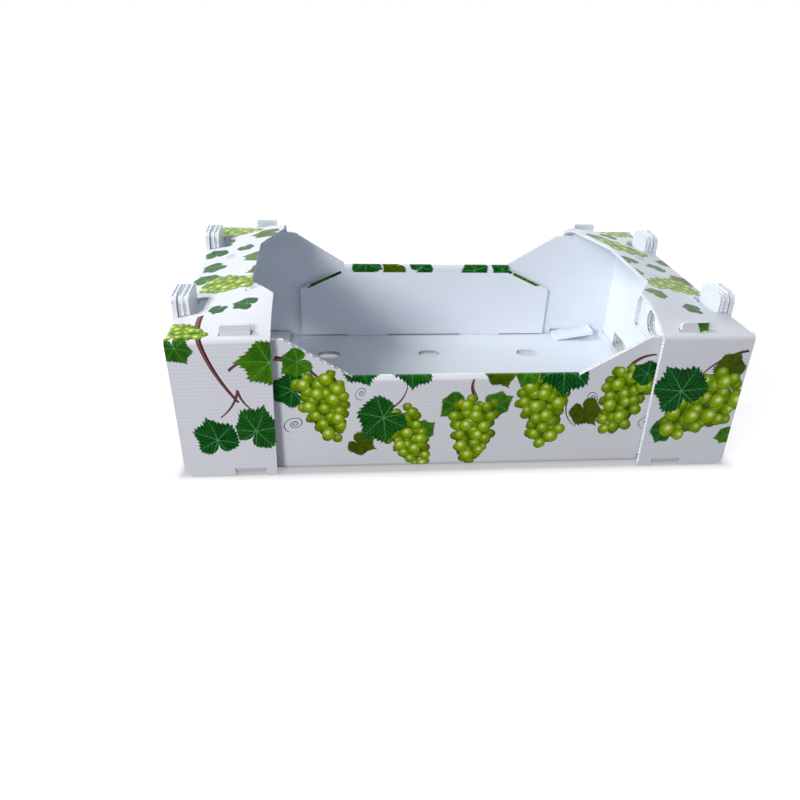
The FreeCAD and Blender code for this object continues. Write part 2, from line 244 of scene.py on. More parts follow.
def bentPath(start, heading, distance, runs):
    # the printed side of a bent strip: each run is a length, or (radius, degrees) for a bend
    parts, spots = [], []
    point, angle = Vector(start), math.radians(heading)
    for run in runs:
        radius, sweep = run if isinstance(run, tuple) else (0, 0)
        length = radius * math.radians(sweep) if radius else run
        if radius:
            steps = round(sheet["bendSteps"] * sweep / 90)
            spots += [distance + length * step / steps for step in range(steps + 1)]
        parts.append((distance, length, point, angle, radius))
        point, angle = advance(point, angle, radius, length)
        distance += length

    def at(spot):
        for first, length, *run in parts:
            if spot <= first + length:
                break
        skin, angle = advance(*run, spot - first)
        return skin, Vector((math.sin(angle), -math.cos(angle)))
    return at, spots


def foldPanel(panel, at, place, turned=False):
    # bends the panel along v, or along u when turned, and sets it in the crate
    for vert in panel.verts:
        u, v, w = vert.co
        along, spot = (v, u) if turned else (u, v)
        skin, outward = at(spot)
        skin = skin - outward * (thick - w)
        vert.co = place(along, skin.x, skin.y)


def wallPlace(side, end=1):
    # for the front (-1) or back (1) of the crate
    return lambda along, out, up: Vector((end * along, side * out, up))


def endPlace(end, side=1):
    # for the left (-1) or right (1) end
    return lambda along, out, up: Vector((end * out, side * along, up))


def cornerPlace(end, side):
    # for a flap that runs across an end from one side
    return lambda up, out, across: Vector((end * out, side * across, up))


def relay(panel, layout):
    # moves the panel to its place in the print
    blank = panel.loops.layers.uv["blank"]
    for face in panel.faces:
        for loop in face.loops:
            loop[blank].uv = layout(*loop[blank].uv, loop.vert.co)


# the crate has settled out of square by these millimetres, and by shares of its height at the back
settled = {
    "tall": 0.028, "tallLeft": 0.012, "tabs": 2.5, "lean": 3.5, "spread": 3, "tuck": 2, "drop": 2,
    "depth": 308, "halfLength": 250, "shelf": 134, "tabRise": 18, "tabsFrom": 225,
    "front": (40, 100), "left": (190, 55),  # where each zone starts, and how far it takes to come in
}


def outOfSquare(point):
    # the back is taller and its left end leans in, the front left end leans out
    size = SimpleNamespace(**settled)
    x, y, z = point
    back = passed(y, -size.depth / 2, size.depth) ** 2
    front, left = passed(-y, *size.front), passed(-x, *size.left)
    share = z / size.shelf
    if abs(x) > size.tabsFrom:
        z -= back * size.tabs * max(0, z - size.shelf) / size.tabRise
    z *= 1 + back * (size.tall - size.tallLeft * x / size.halfLength)
    z -= size.drop * front * left * share
    x += left * (size.lean * back * share + front * (size.tuck * (1 - share) - size.spread * share))
    return Vector((x, y, z))


def makePiece(name, panels, printed, shape=None, layout=None):
    # joins folded panels into one piece of the crate
    whole = bmesh.new()
    for panel in panels:
        mesh = bpy.data.meshes.new("part")
        panel.to_mesh(mesh)
        panel.free()
        whole.from_mesh(mesh)
        bpy.data.meshes.remove(mesh)
    bmesh.ops.remove_doubles(whole, verts=whole.verts, dist=sheet["weld"])
    if whole.calc_volume(signed=True) < 0:
        bmesh.ops.reverse_faces(whole, faces=whole.faces)
    if layout:
        relay(whole, layout)
    for vert in whole.verts:
        if shape:
            vert.co = shape(vert.co)
        vert.co = outOfSquare(vert.co) * mm
    mesh = bpy.data.meshes.new(name)
    whole.to_mesh(mesh)
    whole.free()
    mesh.shade_smooth()
    mesh.set_sharp_from_angle(angle=math.radians(sheet["sharp"]))
    for material in (printed, plain, cutEdge):
        mesh.materials.append(material)
    piece = addObject(name, mesh)
    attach(piece, "root")
    return piece


# node helpers: a node is made in the tree that its values come from

def feed(socket, value):
    if isinstance(value, bpy.types.NodeSocket):
        socket.id_data.links.new(value, socket)
    else:
        socket.default_value = value


def wire(node, **values):
    for key, value in values.items():
        feed(node.inputs[key], value)
    return node


def addNode(tree, kind, *values, **settings):
    node = tree.nodes.new("ShaderNode" + kind)
    for key, value in settings.items():
        setattr(node, key, value)
    for socket, value in zip(node.inputs, values):
        feed(socket, value)
    return node


def treeOf(*values):
    return next(value.id_data for value in values if isinstance(value, bpy.types.NodeSocket))


def calc(operation, *values):
    return addNode(treeOf(*values), "Math", *values, operation=operation).outputs[0]


def vec(operation, *values):
    node = addNode(treeOf(*values), "VectorMath", *values, operation=operation)
    return node.outputs["Value" if operation in ("LENGTH", "DISTANCE", "DOT_PRODUCT") else "Vector"]


plus, minus, times, over = (partial(calc, kind) for kind in ("ADD", "SUBTRACT", "MULTIPLY", "DIVIDE"))
below, above, within = (partial(calc, kind) for kind in ("LESS_THAN", "GREATER_THAN", "COMPARE"))
least, most, absolute = (partial(calc, kind) for kind in ("MINIMUM", "MAXIMUM", "ABSOLUTE"))
sloped = partial(calc, "MULTIPLY_ADD")  # value, slope, start
measure = partial(vec, "LENGTH")


def held(value, top=1.0):
    # no less than 0 and no more than the top
    return least(most(value, 0.0), top)


def scaled(vector, factor):
    return wire(addNode(vector.id_data, "VectorMath", vector, operation="SCALE"), Scale=factor).outputs[0]


def split(vector):
    return addNode(vector.id_data, "SeparateXYZ", vector).outputs


def joined(x=0.0, y=0.0, z=0.0):
    return addNode(treeOf(x, y, z), "CombineXYZ", x, y, z).outputs[0]


def rotated(vector, angle, back=False):
    node = addNode(vector.id_data, "VectorRotate", rotation_type="Z_AXIS", invert=back)
    return wire(node, Vector=vector, Angle=angle).outputs[0]


def mixed(factor, first, second, kind="Color", blend="MIX"):
    words = {"Color": "RGBA", "Vector": "VECTOR", "Float": "FLOAT"}
    node = addNode(treeOf(factor, first, second), "Mix", data_type=words[kind], blend_type=blend)
    byId = {socket.identifier: socket for socket in (*node.inputs, *node.outputs)}
    feed(byId["Factor_Float"], factor)
    feed(byId["A_" + kind], first)
    feed(byId["B_" + kind], second)
    return byId["Result_" + kind]


def ramp(factor, stops):
    node = addNode(factor.id_data, "ValToRGB", factor)
    band = node.color_ramp
    while len(band.elements) < len(stops):
        band.elements.new(0.5)
    for element, stop in zip(band.elements, stops):
        element.position, element.color = stop
    return node.outputs[0]


def curve(value, points):
    node = wire(addNode(value.id_data, "FloatCurve"), Value=value)
    line = node.mapping.curves[0]
    while len(line.points) < len(points):
        line.points.new(0.5, 0.5)
    for point, spot in zip(line.points, points):
        point.location = spot
    node.mapping.extend = "HORIZONTAL"
    node.mapping.update()
    return node.outputs[0]


def noise(vector, scale, detail=2.0):
    return wire(addNode(vector.id_data, "TexNoise"), Vector=vector, Scale=scale, Detail=detail).outputs[0]


def shade(red, green, blue):
    # a colour written as it shows on a screen, 0 to 255
    return (*[(one / 255 / 12.92) if one <= 10 else ((one / 255 + 0.055) / 1.055) ** 2.4
              for one in (red, green, blue)], 1.0)


def grey(level):
    return (level, level, level, 1.0)


def newGroup(name, inputs, outputs):
    tree = bpy.data.node_groups.new(name, "ShaderNodeTree")
    for way, sockets in (("INPUT", inputs), ("OUTPUT", outputs)):
        for label, kind, *value in sockets:
            socket = tree.interface.new_socket(name=label, in_out=way, socket_type="NodeSocket" + kind)
            if value:
                socket.default_value = value[0]
    entry, leave = tree.nodes.new("NodeGroupInput"), tree.nodes.new("NodeGroupOutput")
    return tree, entry.outputs, leave.inputs


def giveOut(gives, **values):
    for key, value in values.items():
        feed(gives[key], value)
    return gives[0].id_data


def useGroup(tree, group, **values):
    return wire(addNode(tree, "Group", node_tree=group), **values).outputs


# the print: motifs are placed in the flat of the sheet, and each kind is drawn once

flatOnly = (1.0, 1.0, 0.0)
motifReach = 1.7  # a motif ends here, in parts of its own size
motifGives = [("Colour", "Color"), ("Mask", "Float")]


def placeMotifGroup():
    # keeps the motif whose middle is nearest, as coordinates in its own frame; z carries its tone
    tree, given, gives = newGroup("placeMotif", [
        ("Vector", "Vector"), ("Local", "Vector"), ("Reach", "Float", motifReach), ("Centre", "Vector"),
        ("Turn", "Vector"), ("Size", "Vector", (1.0, 1.0, 1.0))], [("Local", "Vector"), ("Reach", "Float")])
    local = wire(addNode(tree, "Mapping", vector_type="TEXTURE"), Vector=given["Vector"],
                 Location=given["Centre"], Rotation=given["Turn"], Scale=given["Size"]).outputs[0]
    reach = measure(vec("MULTIPLY", local, flatOnly))
    nearest = mixed(below(reach, given["Reach"]), given["Local"], local, "Vector")
    return giveOut(gives, Local=nearest, Reach=least(reach, given["Reach"]))


bunchLook = {
    "outline": [(0, 0.16), (0.12, 0.4), (0.32, 0.58), (0.52, 0.7), (0.74, 0.8), (0.9, 0.74), (1, 0.5)],
    "tall": 2.5, "foot": -1.3,  # the bunch reaches from its foot to this much higher
    # shift, turn, spacing, berry radius, share kept, share of the width, brightness: from back to front
    "layers": [((3.1, 0.2, 0), 0.4, 0.33, 0.172, 1.0, 1.0, 0.05),
               ((7.4, 0.7, 0), 1.1, 0.4, 0.19, 1.0, 0.94, 0.4),
               ((1.6, 5.15, 0), 0.75, 0.54, 0.22, 0.86, 0.78, 0.75)],
    "scatter": 0.26, "toneSpread": 0.3, "seedStep": -47.0,
    "core": 0.78, "coreSpan": (0.52, 0.4), "fill": shade(62, 88, 0),
    "berry": [(0.0, shade(214, 232, 118)), (0.2, shade(184, 214, 62)), (0.45, shade(152, 188, 16)),
              (0.72, shade(124, 160, 0)), (0.9, shade(98, 134, 0)), (1.0, shade(70, 100, 0))],
    "sway": (0.5, -0.3), "lightAt": 0.24, "lightOver": 1.28,
    "edge": (0.12, 0.25),  # width and strength of the dark edge
    "rim": shade(196, 220, 84), "ring": (0.2, 0.06), "ringSide": (0.5, -0.86, 0.0), "ringFade": (1.8, -0.8),
    "glint": shade(250, 252, 222), "glintAt": 0.3, "glintFade": (-5.0, 1.9), "glintByTone": (1.1, -0.25),
    "tones": [(0.05, shade(168, 170, 140)), (0.45, shade(220, 223, 200)), (0.8, shade(255, 255, 255))],
}


def upBunch(y):
    # 0 at the foot of the bunch, 1 at its top
    return sloped(y, 1 / bunchLook["tall"], -bunchLook["foot"] / bunchLook["tall"])


def berryLayerGroup():
    # one loose scatter of round berries whose middles lie inside the outline of a bunch
    tree, given, gives = newGroup("berryLayer", [
        ("Vector", "Vector"), ("Shift", "Vector"), ("Turn", "Float"), ("Spacing", "Float", 0.4),
        ("Radius", "Float", 0.2), ("Keep", "Float", 1.0), ("Reach", "Float", 1.0)],
        [("Mask", "Float"), ("Disc", "Vector"), ("Chance", "Float")])
    here = vec("MULTIPLY", given["Vector"], flatOnly)
    moved = vec("ADD", rotated(here, given["Turn"]), given["Shift"])
    scatter = wire(addNode(tree, "TexVoronoi", voronoi_dimensions="2D", feature="F1"), Vector=moved,
                   Scale=over(1.0, given["Spacing"]), Randomness=bunchLook["scatter"]).outputs
    middle = vec("SUBTRACT", scatter["Position"], given["Shift"])
    middle = rotated(vec("MULTIPLY", middle, flatOnly), given["Turn"], back=True)
    disc = scaled(vec("SUBTRACT", here, middle), over(1.0, given["Radius"]))
    x, y, _ = split(middle)
    up = upBunch(y)
    inside = below(absolute(x), times(curve(up, bunchLook["outline"]), given["Reach"]))
    chance = split(scatter["Color"])
    inside = times(times(inside, within(up, 0.5, 0.5)), below(chance[0], given["Keep"]))
    return giveOut(gives, Mask=times(inside, below(measure(disc), 1.0)), Disc=disc, Chance=chance[1])


def grapeBunchGroup():
    look = SimpleNamespace(**bunchLook)
    tree, given, gives = newGroup("grapeBunch", [("Local", "Vector")], motifGives)
    layer = berryLayerGroup()
    x, y, seed = split(given["Local"])
    seed = times(seed, look.seedStep)
    up = upBunch(y)
    fill = times(below(absolute(x), times(curve(up, look.outline), look.core)), within(up, *look.coreSpan))
    mask, disc, tone, chance = 0.0, (0.0, 0.0, 0.0), 0.5, 0.5
    for shift, turn, spacing, radius, keep, reach, level in look.layers:
        found = useGroup(tree, layer, Vector=given["Local"], Shift=vec("ADD", shift, joined(seed, seed)),
                         Turn=turn, Spacing=spacing, Radius=radius, Keep=keep, Reach=reach)
        disc = mixed(found["Mask"], disc, found["Disc"], "Vector")
        tone = mixed(found["Mask"], tone, sloped(found["Chance"], look.toneSpread, level), "Float")
        chance = mixed(found["Mask"], chance, found["Chance"], "Float")
        mask = most(mask, found["Mask"])
    # each berry is lit from above, with a dark edge, a light ring low down and a glint
    sway = sloped(chance, *look.sway)
    body = ramp(over(vec("DISTANCE", disc, joined(sway, look.lightAt)), look.lightOver), look.berry)
    edge = minus(1.0, measure(disc))
    wide, dark = look.edge
    body = mixed(times(below(edge, wide), dark), body, look.berry[-1][1])
    low = held(sloped(vec("DOT_PRODUCT", disc, look.ringSide), *look.ringFade), 0.5)
    body = mixed(times(within(edge, *look.ring), low), body, look.rim)
    body = mixed(1.0, body, ramp(tone, look.tones), blend="MULTIPLY")
    glint = held(sloped(vec("DISTANCE", disc, joined(sway, look.glintAt)), *look.glintFade), 0.8)
    body = mixed(times(glint, sloped(tone, *look.glintByTone)), body, look.glint)
    return giveOut(gives, Colour=mixed(mask, look.fill, body), Mask=most(mask, fill))


leafLook = {
    # reach of the leaf's edge from where its stalk joins, by angle from the tip
    "outline": [(0, 1.0), (0.06, 0.9), (0.13, 0.8), (0.21, 0.83), (0.3, 0.9), (0.38, 0.81),
                (0.46, 0.75), (0.54, 0.78), (0.63, 0.82), (0.74, 0.75), (0.84, 0.66), (0.92, 0.52),
                (0.97, 0.34), (1, 0.08)],
    "stalk": 0.3, "bend": 0.14, "uneven": 0.24, "unevenScale": 1.6, "teeth": [(17.0, 0.1), (43.0, 0.045)],
    "veins": [0.0, 0.3, 0.62, 0.86], "between": [0.14, 0.46, 0.75],  # angles, as in the outline
    "mainWidth": (-0.012, 0.016), "sideWidth": (-0.01, 0.008), "sideEvery": 0.1, "sideBend": (0.85, 1.05),
    "sideShare": 0.75, "veinShare": 0.8, "rimShare": 0.4, "rimWidth": 0.035,
    "light": {"base": 0.22, "cloud": 0.9, "cloudScale": 3.0, "side": -1.1, "half": -0.16, "edge": 0.3},
    "dark": shade(0, 84, 20), "bright": shade(72, 132, 0), "olive": shade(80, 102, 0),
    "shadeSide": shade(150, 168, 140), "vein": shade(96, 170, 100), "oliveVein": shade(46, 66, 0),
    "rim": shade(0, 42, 0),
}


def vineLeafGroup():
    # a heart-shaped, toothed leaf seen flat; tone 0 is dark green and 1 is yellow-green
    look = SimpleNamespace(**leafLook)
    _, given, gives = newGroup("vineLeaf", [("Local", "Vector")], motifGives)
    x, y, tone = split(given["Local"])
    low = plus(y, look.stalk)
    x = plus(x, times(times(low, low), look.bend))  # the whole leaf curves a little
    angle = over(absolute(calc("ARCTAN2", x, low)), math.pi)
    reach = measure(joined(x, low))
    edge = minus(curve(angle, look.outline), look.uneven / 2)
    edge = sloped(noise(given["Local"], look.unevenScale, 1.0), look.uneven, edge)
    for count, size in look.teeth:  # teeth lean towards the tip
        edge = sloped(times(calc("FRACT", times(angle, -count)), reach), size, edge)
    # main veins run out to the lobes, side veins branch off them
    lobe = look.veins[0]
    for limit, one, two in zip(look.between, look.veins, look.veins[1:]):
        lobe = sloped(above(angle, limit), two - one, lobe)
    off = times(minus(angle, lobe), math.pi)
    side = times(reach, absolute(calc("SINE", off)))
    along = times(reach, calc("COSINE", off))
    main = below(side, sloped(reach, *look.mainWidth))
    power, lean = look.sideBend
    branch = calc("PINGPONG", minus(along, times(calc("POWER", side, power), lean)), look.sideEvery)
    branch = below(branch, sloped(side, *look.sideWidth))
    vein = most(main, times(branch, look.sideShare))
    tone = absolute(tone)
    green = ramp(tone, [(0.0, look.dark), (0.45, look.bright), (0.9, look.olive)])
    veinShade = ramp(tone, [(0.0, look.vein), (0.5, look.vein), (0.85, look.oliveVein)])
    # lighter towards the veins and the edge, darker on one half and in the folds between veins
    by = look.light
    cloud = noise(given["Local"], by["cloudScale"], 3.0)
    light = plus(sloped(cloud, by["cloud"], times(side, by["side"])), by["base"])
    light = sloped(above(x, 0.0), by["half"], light)
    light = sloped(calc("POWER", reach, 3.0), by["edge"], light)
    green = mixed(1.0, green, ramp(light, [(0.1, look.shadeSide), (0.75, grey(1.0))]), blend="MULTIPLY")
    green = mixed(times(vein, look.veinShare), green, veinShade)
    rim = above(reach, minus(edge, look.rimWidth))
    colour = mixed(times(rim, look.rimShare), green, look.rim)
    return giveOut(gives, Colour=colour, Mask=below(reach, edge))


stemTaper = -0.55  # change in width from its start to its end


def stemGroup():
    # a stroke from one point to another that bows to one side and thins towards its end
    _, given, gives = newGroup("stem", [
        ("Vector", "Vector"), ("From", "Vector"), ("To", "Vector"), ("Bow", "Float"),
        ("Thick", "Float", 1.0)], [("Mask", "Float"), ("Across", "Float")])
    line = vec("SUBTRACT", given["To"], given["From"])
    way = vec("NORMALIZE", line)
    arm = vec("SUBTRACT", given["Vector"], given["From"])
    along = over(vec("DOT_PRODUCT", arm, way), measure(line))
    x, y, _ = split(way)
    off = vec("DOT_PRODUCT", arm, joined(times(y, -1.0), x))
    off = minus(off, times(times(along, minus(1.0, along)), times(given["Bow"], 4.0)))
    across = over(off, times(given["Thick"], sloped(along, stemTaper, 1.0)))
    return giveOut(gives, Mask=times(below(absolute(across), 1.0), within(along, 0.5, 0.5)), Across=across)


tendrilLook = {"squeeze": 1.35, "growth": 2.4, "from": 0.12, "to": 1.12}  # growth is for each turn


def tendrilGroup():
    # a thin curl that winds up at its end
    look = tendrilLook
    _, given, gives = newGroup("tendril", [
        ("Local", "Vector"), ("Thick", "Float", 0.042)], [("Mask", "Float")])
    x, y, _ = split(given["Local"])
    y = times(y, look["squeeze"])
    reach = measure(joined(x, y))
    turn = over(calc("ARCTAN2", y, x), 2 * math.pi)
    growth = math.log(look["growth"])
    wound = calc("FRACT", minus(over(calc("LOGARITHM", reach, math.e), growth), turn))
    off = times(times(absolute(minus(wound, 0.5)), growth), reach)
    middle, half = (look["to"] + look["from"]) / 2, (look["to"] - look["from"]) / 2
    return giveOut(gives, Mask=times(below(off, given["Thick"]), within(reach, middle, half)))


fluteLook = {"driftScale": 0.006, "drift": 0.8, "ribFrom": 0.38, "ribFade": 8.0,
             "fadeScale": (0.28, 0.012, 0.0), "fade": (1.6, -0.3)}


def fluteLinesGroup():
    # ribs show through the skin as faint lines, with the skin sunk a little between them
    look = fluteLook
    _, given, gives = newGroup("fluteLines", [
        ("Lines", "Vector"), ("Pitch", "Float", sheet["pitch"])], [("Height", "Float"), ("Rib", "Float")])
    across = split(given["Lines"])[0]
    drift = noise(scaled(given["Lines"], look["driftScale"]), 1.0)
    phase = plus(over(across, given["Pitch"]), times(drift, look["drift"]))
    off = absolute(minus(calc("FRACT", phase), 0.5))
    rib = held(times(minus(off, look["ribFrom"]), look["ribFade"]))
    uneven = noise(vec("MULTIPLY", given["Lines"], look["fadeScale"]), 1.0)
    return giveOut(gives, Rib=times(rib, sloped(uneven, *look["fade"])), Height=times(times(off, off), 4.0))


placeMotif = placeMotifGroup()
grapeBunch = grapeBunchGroup()
vineLeaf = vineLeafGroup()
stem = stemGroup()
tendril = tendrilGroup()
fluteLines = fluteLinesGroup()

sheetLook = {
    "colour": shade(233, 234, 240), "ribColour": shade(216, 218, 228), "edgeColour": shade(240, 243, 248),
    # the inside colour is the sheet's white on its plain side, tinted a little bluer as painted cool shade
    # for the inside of the crate
    "insideColour": shade(234, 239, 246), "ribTint": 0.4, "cloudTint": 0.12, "cloudScale": 9.0,
    "bark": [(0.0, shade(66, 18, 28)), (0.36, shade(150, 98, 94)), (0.6, shade(100, 40, 48)),
             (1.0, shade(46, 12, 22))],
    "tendril": shade(22, 40, 24), "roughness": 0.4, "roughVaries": 0.12, "roughScale": 60.0,
    "printRoughness": 0.34, "bump": 0.35, "bumpDepth": 0.0003, "waves": 2.0, "waveScale": 22.0, "ior": 1.49,
    "gloss": 0.5, "headOn": 0.05,  # satin plastic: dull seen head on, glossy at a low angle
}


def newMaterial(name):
    material = bpy.data.materials.new(name)
    material.use_nodes = True
    return material, material.node_tree, material.node_tree.nodes["Principled BSDF"]


def sheetMaterial(name, picture=None, colour="colour"):
    look = SimpleNamespace(**sheetLook)
    material, tree, shader = newMaterial(name)
    flutes = useGroup(tree, fluteLines, Lines=addNode(tree, "UVMap", uv_map="lines").outputs[0])
    base, bleed = sheetLook[colour], 1.0
    if picture and "bleed" in picture:
        bleed = printedSide(tree, *picture["bleed"])
        # past the print, the rolled edge takes the inside colour, with its painted cool shade
        base = mixed(bleed, look.insideColour, base)
    ink = mixed(times(flutes["Rib"], look.ribTint), base, look.ribColour)
    place = addNode(tree, "TexCoord").outputs["Object"]
    ink = mixed(times(noise(place, look.cloudScale, 3.0), look.cloudTint), ink, look.ribColour)
    smooth = look.roughness - look.roughVaries / 2
    rough = sloped(noise(place, look.roughScale, 3.0), look.roughVaries, smooth)
    if picture:
        ink, rough = drawPrint(tree, picture, bleed, ink, rough)
    waves = sloped(noise(place, look.waveScale), look.waves, flutes["Height"])
    bump = wire(addNode(tree, "Bump"), Strength=look.bump, Distance=look.bumpDepth, Height=waves)
    wire(shader, **{"Base Color": ink, "Roughness": rough, "Normal": bump.outputs[0], "IOR": look.ior,
                    "Specular IOR Level": look.gloss, "Specular Tint": grey(look.headOn)})
    return material


def chosen(vector, places):
    # coordinates in the frame of the nearest of these motifs: (x, y, turn in degrees, size, any tone)
    local, reach = (9.0, 9.0, 0.0), motifReach  # far off, until a motif is near
    for x, y, turn, size, *tone in places:
        found = useGroup(vector.id_data, placeMotif, Vector=vector, Local=local, Reach=reach,
                         Centre=(x, y, -sum(tone)), Turn=(0.0, 0.0, math.radians(turn)),
                         Size=(size, size, 1.0))
        local, reach = found["Local"], found["Reach"]
    return local


def printedSide(tree, half, top, slope):
    # the print stops a little way over the rolled edge
    u, v, _ = split(addNode(tree, "UVMap", uv_map="blank").outputs[0])
    past = most(minus(absolute(u), half), 0.0)
    return below(minus(v, times(past, slope)), top)


def drawPrint(tree, picture, bleed, colour, rough):
    look = sheetLook
    blank = addNode(tree, "UVMap", uv_map="blank").outputs[0]
    layers = []
    for start, end, bow, width in picture["stems"]:
        found = useGroup(tree, stem, Vector=blank, From=(*start, 0.0), To=(*end, 0.0), Bow=bow, Thick=width)
        layers.append((found["Mask"], ramp(sloped(found["Across"], 0.5, 0.5), look["bark"])))
    found = useGroup(tree, tendril, Local=chosen(blank, picture["curls"]))
    layers.append((found["Mask"], look["tendril"]))
    for kind, group in (("lowLeaves", vineLeaf), ("bunches", grapeBunch), ("leaves", vineLeaf)):
        found = useGroup(tree, group, Local=chosen(blank, picture[kind]))
        layers.append((found["Mask"], found["Colour"]))
    ink, mask = colour, 0.0
    for cover, shown in layers:
        ink = mixed(cover, ink, shown)
        mask = most(mask, cover)
    mask = times(mask, bleed)
    return mixed(mask, colour, ink), mixed(mask, rough, look["printRoughness"], "Float")


# (x, y, turn, size, tone), in the flat of the sheet seen from its printed side; curls have no tone,
# stems are (from, to, bow, width), and bleed is where the print stops on a rolled edge
longWallBleed = (100, 107, 0.4575)
frontPicture = {
    "bleed": longWallBleed,
    "stems": [
        ((-165, 112), (-128, 92), 4, 2.4), ((-66, 62), (-52, 84), -3, 1.0), ((8, 74), (6, 90), 2, 2.0),
        ((92, 64), (104, 40), -4, 0.7), ((96, 56), (112, 50), 3, 0.9), ((142, 98), (166, 112), 4, 2.0)],
    "curls": [(-150, 48, 20, 10), (116, 70, 120, 9), (172, 44, 10, 9), (-92, 78, 60, 7)],
    "lowLeaves": [
        (-156, 84, 60, 19, 0.0), (-90, 24, -120, 14, 0.9), (-12, 62, 120, 15, 0.3), (32, 66, -70, 14, 0.4),
        (30, 92, 200, 15, 0.95), (112, 52, -150, 17, 0.9), (176, 88, 70, 20, 0.0), (-34, 40, -60, 12, 0.4)],
    "bunches": [
        (-124, 64, 12, 27, 0.31), (-50, 32, 24, 25, 0.57), (8, 38, -8, 27, 0.83), (72, 58, 10, 29, 0.44),
        (144, 66, -10, 28, 0.72)],
    "leaves": [
        (-78, 48, 130, 25, 0.05), (-92, 98, 196, 18, 0.0), (-48, 98, 168, 21, 0.05), (86, 94, 172, 27, 0.0),
        (52, 94, 150, 15, 0.35), (158, 96, 50, 14, 0.0), (-150, 106, 120, 15, 0.45),
        (203, 140, 150, 9, 0.45)],
}

# the shelf lies beyond 136 in y, and the outside of the end wall about 900 in x
endPrint = {"wall": 900, "shelf": 285}
rightPicture = {
    "stems": [
        ((246, 118), (206, 92), -5, 1.4), ((246, 250), (204, 262), 5, 1.2),
        ((820, 128), (872, 92), 6, 2.0)],
    "curls": [(240, 80, 30, 8), (216, 318, 80, 8), (905, 34, 60, 11)],
    "lowLeaves": [
        (240, 264, 20, 17, 0.9), (184, 256, 200, 14, 0.6), (232, 372, 100, 18, 0.85),
        (182, 372, 20, 13, 0.1), (235, 104, -30, 17, 0.9), (182, 36, 150, 13, 0.1), (838, 40, 100, 18, 0.1),
        (980, 96, 30, 22, 0.9)],
    "bunches": [
        (212, 60, -54, 33, 0.37), (214, 234, -74, 24, 0.2), (204, 346, 64, 24, 0.6),
        (226, 418, 100, 19, 0.9), (856, 74, 14, 33, 0.15), (962, 62, -16, 32, 0.48)],
    "leaves": [
        (189, 86, 28, 27, 0.0), (243, 32, 100, 10, 0.4), (186, 200, -50, 12, 0.4), (208, 176, 80, 11, 0.05),
        (238, 190, 150, 12, 0.7), (190, 300, 30, 15, 0.05), (224, 292, -40, 12, 0.1),
        (243, 318, 70, 13, 0.05), (180, 425, 120, 11, 0.1), (206, 392, -30, 12, 0.0),
        (838, 104, 30, 24, 0.0), (898, 112, 160, 20, 0.4), (996, 30, 70, 15, 0.05),
        (940, 104, 200, 22, 0.05)],
}
leftPicture = {
    "stems": [
        ((-226, 172), (-196, 74), -9, 2.6), ((-202, 104), (-180, 112), 3, 1.4),
        ((-196, 86), (-212, 60), 3, 1.3), ((-196, 84), (-184, 66), -2, 1.2),
        ((-228, 380), (-200, 430), 5, 1.2), ((810, 120), (866, 96), 6, 2.0)],
    "curls": [(-186, 214, 30, 8), (-218, 318, 80, 7), (902, 32, 60, 11)],
    "lowLeaves": [
        (-176, 112, 80, 24, 0.5), (-240, 122, 200, 14, 0.2), (-184, 262, 100, 17, 0.9),
        (-236, 262, 20, 14, 0.1), (-188, 374, 80, 17, 0.85), (846, 44, 100, 18, 0.1),
        (966, 102, 30, 22, 0.9)],
    "bunches": [
        (-240, 146, 66, 18, 0.31), (-206, 236, 78, 24, 0.3), (-224, 404, 72, 24, 0.8),
        (848, 72, -14, 33, 0.66), (958, 58, 12, 32, 0.21)],
    "leaves": [
        (-218, 44, 10, 21, 0.0), (-180, 52, -26, 23, 0.05), (-192, 182, 60, 12, 0.05),
        (-232, 206, -70, 10, 0.1), (-214, 178, 150, 9, 0.05), (-234, 290, 120, 14, 0.05),
        (-192, 304, 60, 16, 0.6), (-236, 336, 10, 14, 0.1), (-204, 334, 200, 10, 0.05),
        (-232, 364, 80, 13, 0.1), (-190, 424, 40, 12, 0.1), (824, 100, 30, 24, 0.0),
        (892, 110, 160, 20, 0.4), (984, 34, 70, 15, 0.05)],
}
backPicture = {
    "bleed": longWallBleed,
    "stems": [
        ((-236, 118), (-200, 92), 5, 1.8), ((144, 127), (130, 121), 1, 1.6),
        ((60, 76), (50, 100), -3, 1.2)],
    "curls": [(-150, 60, 20, 10), (22, 34, 200, 9), (98, 30, 120, 9), (-182, 30, 10, 9)],
    "lowLeaves": [
        (-130, 113, 60, 24, 0.5), (-112, 30, 120, 17, 0.9), (-20, 76, 150, 18, 0.5),
        (44, 103, -60, 17, 0.85), (176, 96, 200, 22, 0.5), (118, 34, -100, 16, 0.1),
        (128, 116, 50, 15, 0.2), (240, 98, 20, 16, 0.9)],
    "bunches": [
        (-206, 62, 22, 31, 0.14), (-104, 64, -12, 31, 0.52), (-36, 40, 16, 29, 0.93),
        (54, 52, -8, 32, 0.27), (136, 62, 14, 31, 0.61), (214, 56, -18, 32, 0.42)],
    "leaves": [
        (-226, 92, 140, 22, 0.0), (-92, 98, 190, 15, 0.0), (-60, 99, 160, 18, 0.05), (4, 98, 130, 16, 0.0),
        (70, 98, 60, 20, 0.05), (112, 109, 20, 10, 0.0), (156, 84, 170, 20, 0.0), (200, 90, 40, 20, 0.05),
        (-62, 18, 90, 12, 0.3), (-148, 34, 30, 14, 0.4), (20, 74, 70, 13, 0.35), (234, 24, 60, 11, 0.1)],
}

# the plain side uses the inside colour, with its painted cool shade
plain = sheetMaterial("plainSheet", colour="insideColour")
cutEdge = sheetMaterial("cutEdge", colour="edgeColour")
frontPrint = sheetMaterial("frontPrint", frontPicture)
rightPrint = sheetMaterial("rightPrint", rightPicture)
leftPrint = sheetMaterial("leftPrint", leftPicture)
backPrint = sheetMaterial("backPrint", backPicture)
print("materials done")


baseSize = {"halfX": 245, "halfY": 143, "vent": (26, 18), "ventAt": [-120, 0, 120], "ventY": 84,
            "footSlot": (45, 97), "footSlotY": (138, 150), "roomX": (235.5, 250), "room": (69, 108)}


